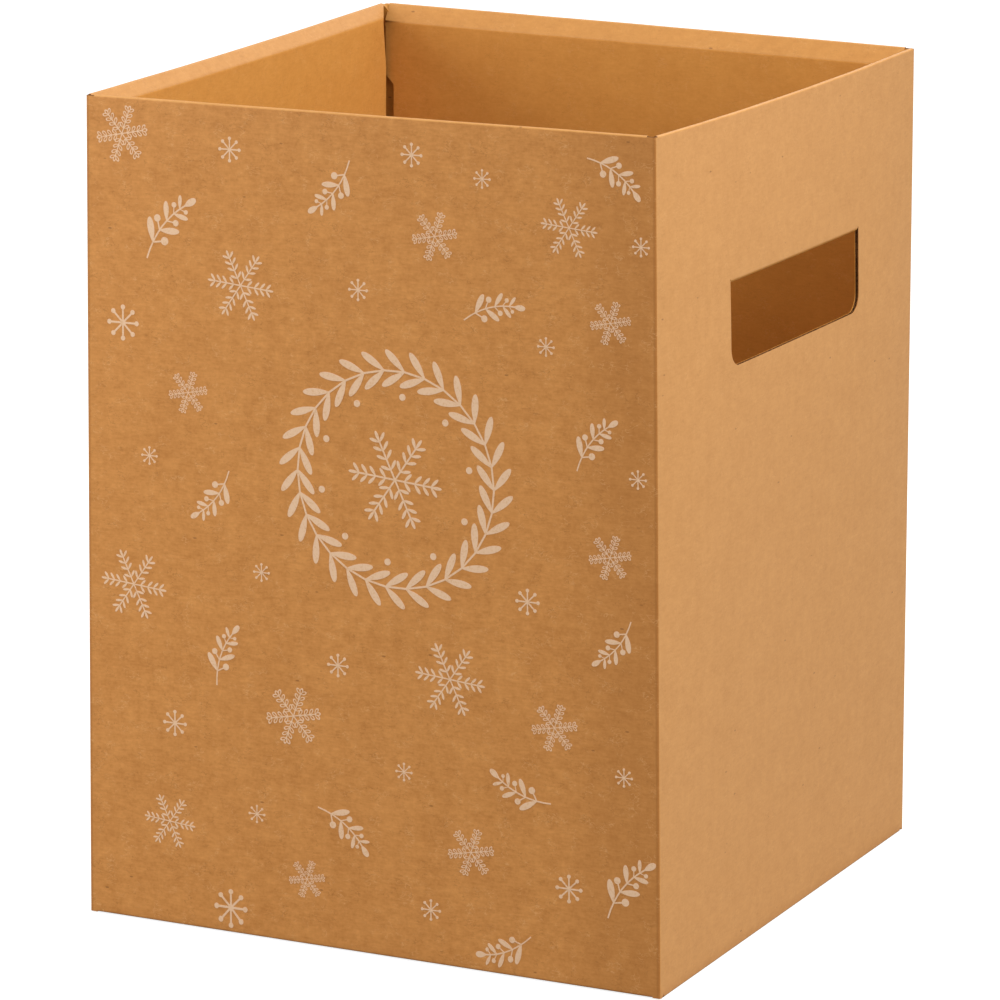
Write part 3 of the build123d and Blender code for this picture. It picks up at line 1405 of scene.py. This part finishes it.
@dataclass(frozen=True)
class Sprig:
    """A bent stem with leaves and berries by turns on both sides, and a leaf at its tip."""

    foot_pixel: Pixel
    tip_pixel: Pixel
    bow_share: float = 0.115
    stem_share: float = 0.02
    station_shares: tuple[float, ...] = (0.2, 0.37, 0.52, 0.65, 0.75)
    tip_share: float = 0.84
    tip_leaf_shares: tuple[float, float] = (0.18, 0.085)
    left_leaf_lean: float = math.radians(30.0)
    lean_gain: float = math.radians(24.0)
    left_berry_lean: float = math.radians(48.0)
    right_lean: float = math.radians(-55.0)
    stem_runs: int = 8
    size_loss_share: float = 0.45
    tip_overlap_share: float = 0.02
    heading_step_share: float = 0.01
    leaf_shares: tuple[float, float] = (0.3, 0.09)
    stalk_share: float = 0.16
    berry_share: float = 0.05

    def stem(self, sheet: InkSheet, share: float) -> Vector:
        """Finds a point on the bent stem.

        Args:
            sheet: The sheet of ink, for its wall.
            share: How far along the stem.

        Returns:
            The point on the wall.
        """
        foot, tip = sheet.wall.place(self.foot_pixel), sheet.wall.place(self.tip_pixel)
        chord = tip - foot
        bow = 4 * self.bow_share * share * (1 - share)
        return foot + chord * share + Vector((-chord.y, chord.x)) * bow

    def draw(self, sheet: InkSheet) -> None:
        """Prints the sprig.

        Args:
            sheet: The sheet of ink to add it to.
        """
        length = (self.stem(sheet, 1.0) - self.stem(sheet, 0.0)).length
        for run in range(self.stem_runs):
            shares = [self.tip_share * (run + step) / self.stem_runs for step in (0, 1)]
            start, end = (self.stem(sheet, share) for share in shares)
            sheet.stroke(start, end, self.stem_share * length)
        for index, station in enumerate(self.station_shares):
            leaf_on_left = index % 2 == 0
            size = length * (1.0 - self.size_loss_share * index / (len(self.station_shares) - 1))
            heading = self.heading(sheet, station)
            if leaf_on_left:
                lean = self.left_leaf_lean + self.lean_gain * station / self.station_shares[-1]
                self.grow(sheet, Growth.LEAF, station, heading + lean, size)
                self.grow(sheet, Growth.BERRY, station, heading + self.right_lean, size)
            else:
                self.grow(sheet, Growth.BERRY, station, heading + self.left_berry_lean, size)
                self.grow(sheet, Growth.LEAF, station, heading + self.right_lean, size)
        tip = self.stem(sheet, self.tip_share - self.tip_overlap_share)
        long_share, wide_share = self.tip_leaf_shares
        sheet.leaf(tip, self.heading(sheet, self.tip_share), long_share * length, wide_share * length)

    def heading(self, sheet: InkSheet, share: float) -> float:
        """Finds the stem's own direction.

        Args:
            sheet: The sheet of ink, for its wall.
            share: How far along the stem.

        Returns:
            The direction, in radians.
        """
        step = self.heading_step_share
        run = self.stem(sheet, share + step) - self.stem(sheet, share - step)
        return math.atan2(run.y, run.x)

    def grow(self, sheet: InkSheet, kind: Growth, along: float, angle: float, size: float) -> None:
        """Prints one leaf or one berry on its stalk.

        Args:
            sheet: The sheet of ink to add it to.
            kind: Which of the two.
            along: How far along the stem it grows.
            angle: The direction that it grows in, in radians.
            size: The size that its own shares are taken of.
        """
        base = self.stem(sheet, along)
        if kind is Growth.LEAF:
            long_share, wide_share = self.leaf_shares
            sheet.leaf(base, angle, long_share * size, wide_share * size)
        else:
            end = base + pointing(angle) * self.stalk_share * size
            sheet.stroke(base, end, self.stem_share * size)
            sheet.dot(end, self.berry_share * size)


@dataclass(frozen=True)
class Wreath:
    """A round wreath of paired leaves and berries about a plain snowflake."""

    pixel: Pixel = (395.0, 480.0)
    across: float = 90.0 * MM
    pairs: int = 30
    leaf_length: float = 10.5 * MM
    leaf_width: float = 2.7 * MM
    splay: float = math.radians(38.0)
    stem_width: float = 0.7 * MM
    berry: float = 1.25 * MM
    berry_every: int = 3
    berry_inset_share: float = 0.85
    middle: float = 36.0 * MM

    def draw(self, sheet: InkSheet) -> None:
        """Prints the wreath.

        Args:
            sheet: The sheet of ink to add it to.
        """
        centre = sheet.wall.place(self.pixel)
        ring = self.across / 2 - self.leaf_length * math.sin(self.splay)
        for pair in range(self.pairs):
            turn, after = (2 * math.pi * (pair + step) / self.pairs for step in (0, 1))
            base, end = (centre + pointing(angle) * ring for angle in (turn, after))
            sheet.stroke(base, end, self.stem_width)
            for splay in (self.splay, -self.splay):
                sheet.leaf(base, turn + math.pi / 2 + splay, self.leaf_length, self.leaf_width)
            if pair % self.berry_every == 0:
                inner_ring = ring - self.leaf_length * self.berry_inset_share
                sheet.dot(centre + pointing(after) * inner_ring, self.berry)
        Snowflake(self.pixel, self.middle, FlakeStyle.OPEN).draw(sheet)


@dataclass
class FrontPrint:
    """The pale print of the front wall."""

    wall: PrintedWall
    finish: Finish
    small_star: float = 6.8 * MM

    def snowflakes(self) -> list[Snowflake]:
        """Lists the snowflakes.

        Returns:
            The snowflakes, each at its pixel and as many millimetres across.
        """
        open_flakes = (
            ((240.5, 285.5), 26.0), ((134, 584), 26.2), ((569, 228), 21.3), ((450, 679.5), 26.8),
            ((170, 821), 20.4),
        )
        dense_flakes = (
            ((122, 133.5), 20.9), ((434.5, 236.5), 17.6), ((610, 558), 16.2), ((293.5, 716), 21.8),
            ((554.5, 728), 17.6), ((471, 852.5), 17.9), ((188, 392.5), 15.7), ((610.5, 323.5), 15.5),
            ((307, 879), 14.4),
        )
        return [
            *(Snowflake(pixel, across * MM, FlakeStyle.OPEN) for pixel, across in open_flakes),
            *(Snowflake(pixel, across * MM) for pixel, across in dense_flakes),
        ]

    def stars(self) -> list[Star]:
        """Lists the stars.

        Returns:
            The stars, each at its pixel and as many millimetres across.
        """
        broad = (
            ((123, 322.5), 13.0), ((231, 907.5), 13.4), ((569, 889), 10.4), ((229.5, 149.5), 9.1),
            ((411.5, 155), 8.6), ((358, 290), 7.9), ((527.5, 602), 9.4), ((338, 665.5), 8.6),
            ((175, 723), 9.7), ((431, 910), 7.9),
        )
        small = (
            (482, 179), (641, 247.5), (546, 347), (149.5, 455.5), (638, 480), (261.5, 572.5),
            (404, 772), (624, 778), (257, 814),
        )
        return [
            *(Star(pixel, across * MM) for pixel, across in broad),
            *(Star(pixel, self.small_star) for pixel in small),
        ]

    def sprigs(self) -> list[Sprig]:
        """Lists the sprigs.

        Returns:
            The sprigs, each from the pixel of its foot to that of its tip.
        """
        ends = (
            ((147, 258), (197, 200)), ((349.4, 160.5), (307, 212)), ((587, 158), (640, 203)),
            ((464, 320), (526, 310)), ((577, 471), (619, 422)), ((229, 471), (190, 517)),
            ((217, 685), (240, 626)), ((631, 622), (591, 665)), ((551, 804), (490, 768)),
            ((318, 807), (368, 858)), ((608, 918), (657, 865)), ((531, 937), (475, 953)),
        )
        return [Sprig(foot, tip) for foot, tip in ends]

    def build(self) -> list[bpy.types.Object]:
        """Makes the print, one piece for each kind of motif.

        Returns:
            The pieces.
        """
        kinds = {
            "print_snowflakes": self.snowflakes(),
            "print_stars": self.stars(),
            "print_sprigs": self.sprigs(),
            "print_wreath": [Wreath()],
        }
        pieces = []
        for name, motifs in kinds.items():
            sheet = InkSheet(name, self.wall, self.finish)
            for motif in motifs:
                motif.draw(sheet)
            pieces.append(sheet.build())
        return pieces


@dataclass(frozen=True)
class PaleFloor(Finish):
    """The studio's floor: lit from below to nearly white, with little of that light thrown on the box."""

    name: str = "pale_floor"
    light: Colour = (0.32, 0.32, 0.32)
    dim: Colour = (0.30, 0.30, 0.30)
    glow: float = 0.86
    roughness: float = 0.85
    mottle: Grain = Grain(6.0, 2.0, 0.5)

    def shade(self, graph: Graph) -> bpy.types.Node:
        """Fills the material's tree.

        Args:
            graph: The tree.

        Returns:
            The shader node.
        """
        mottle = self.mottle.on(graph, graph.add("ShaderNodeTexCoord").outputs["Object"])
        seen = graph.add("ShaderNodeLightPath").outputs["Is Camera Ray"]
        return graph.add("ShaderNodeBsdfPrincipled", {
            "Base Color": graph.mix(mottle, self.dim, self.light),
            "Roughness": self.roughness,
            "Emission Color": (1.0, 1.0, 1.0, 1.0),
            "Emission Strength": graph.math("MULTIPLY", seen, self.glow),
        })


class LampKind(Enum):
    """The kinds of lamp in the studio."""

    SOFTBOX = "AREA"
    FAR_SILK = "SUN"


@dataclass(frozen=True)
class Lamp:
    """A broad lamp that faces the box: a near softbox, or a far silk whose light doesn't fall off."""

    name: str
    kind: LampKind
    azimuth: float
    elevation: float
    power: float
    breadth: float
    distance: float = 1.0

    def build(self, target: Vector) -> bpy.types.Object:
        """Hangs the lamp.

        Args:
            target: The point that it faces.

        Returns:
            The lamp.
        """
        light = bpy.data.lights.new(self.name, self.kind.value)
        light.energy = self.power
        if self.kind is LampKind.SOFTBOX:
            light.size = self.breadth
        else:
            light.angle = math.radians(self.breadth)
        lamp = bpy.data.objects.new(self.name, light)
        lamp.visible_camera = False
        bpy.context.scene.collection.objects.link(lamp)
        back = direction(self.azimuth, self.elevation)
        lamp.location = target + back * self.distance
        lamp.rotation_euler = (-back).to_track_quat("-Z", "Y").to_euler()
        return lamp


@dataclass
class Studio:
    """A pale floor, an even white surround, a far key, a near softbox on each side and a card behind."""

    target: Vector
    floor_half: float = 5.0
    floor_gap: float = 0.1 * MM
    surround: float = 0.64
    lamps: tuple[Lamp, ...] = (
        Lamp("key_silk", LampKind.FAR_SILK, azimuth=79.0, elevation=47.0, power=1.95, breadth=25.0),
        Lamp("right_softbox", LampKind.SOFTBOX, azimuth=70.0, elevation=42.0, power=1.05, breadth=0.35,
             distance=0.65),
        Lamp("left_softbox", LampKind.SOFTBOX, azimuth=-56.0, elevation=22.0, power=2.8, breadth=0.4,
             distance=0.75),
        Lamp("back_card", LampKind.SOFTBOX, azimuth=178.0, elevation=28.0, power=1.1, breadth=0.5,
             distance=0.9),
    )

    def build(self) -> None:
        """Makes the floor, the surround and the lamps."""
        reach = self.floor_half
        corners = [(-reach, -reach), (reach, -reach), (reach, reach), (-reach, reach)]
        mesh = bpy.data.meshes.new("studio_floor")
        mesh.from_pydata([(x, y, -self.floor_gap) for x, y in corners], [], [(0, 1, 2, 3)])
        mesh.materials.append(PaleFloor().material())
        add_piece("studio_floor", mesh)
        world = bpy.data.worlds.new("white_surround")
        bpy.context.scene.world = world
        world.use_nodes = True
        background = world.node_tree.nodes["Background"]
        background.inputs["Color"].default_value = (1.0, 1.0, 1.0, 1.0)
        background.inputs["Strength"].default_value = self.surround
        for lamp in self.lamps:
            lamp.build(self.target)
        bpy.context.scene.view_settings.view_transform = "Standard"


def report(pieces: Iterable[bpy.types.Object]) -> None:
    """Logs each piece with its count of faces.

    Args:
        pieces: The pieces that were made.
    """
    for piece in pieces:
        triangles = sum(len(face.vertices) - 2 for face in piece.data.polygons)
        log.info("%s: %d triangles", piece.name, triangles)


def main() -> None:
    """Builds the carton, its print, the studio and the camera."""
    logging.basicConfig(level=logging.INFO, format="%(name)s: %(message)s")
    low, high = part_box(CARTON_NODE)
    folds = FoldLines(high.x, high.z)
    settling = Settling(high.x, high.y, high.z)
    # One kraft for every kind, with colours set apart as painted light: paler, bluer sides as painted glare,
    # paler rim strips and brighter flaps as painted light from above, and a darker inside, partly an inner
    # liner and partly painted shade.
    finishes = {
        BoardFace.LINER: KraftLiner(folds),
        BoardFace.CORE: RawCore(),
        BoardFace.FRONT: KraftLiner(
            folds, "kraft_front", deep=(0.48, 0.191, 0.041), pale=(0.64, 0.282, 0.074), contrast=1.9,
            sheen=0.25, shade_band_share=0.32, line_share=0.6),
        BoardFace.STRIP: KraftLiner(
            folds, "kraft_strip", deep=(0.48, 0.206, 0.044), pale=(0.645, 0.308, 0.078), sheen=0.4),
        BoardFace.FLAP: KraftLiner(
            folds, "kraft_flap", deep=(0.515, 0.217, 0.042), pale=(0.685, 0.323, 0.076), sheen=0.1),
        BoardFace.INSIDE: KraftLiner(
            folds, "kraft_inside", deep=(0.47, 0.193, 0.032), pale=(0.65, 0.288, 0.056), sheen=0.1),
    }
    report(Carton(finishes, settling).build())
    middle = (low + high) / 2
    camera = PhotoCamera(middle)
    report(FrontPrint(PrintedWall(low.y, camera, settling), PaleInk()).build())
    Studio(middle).build()
    camera.build()


if __name__ == "__main__":
    main()
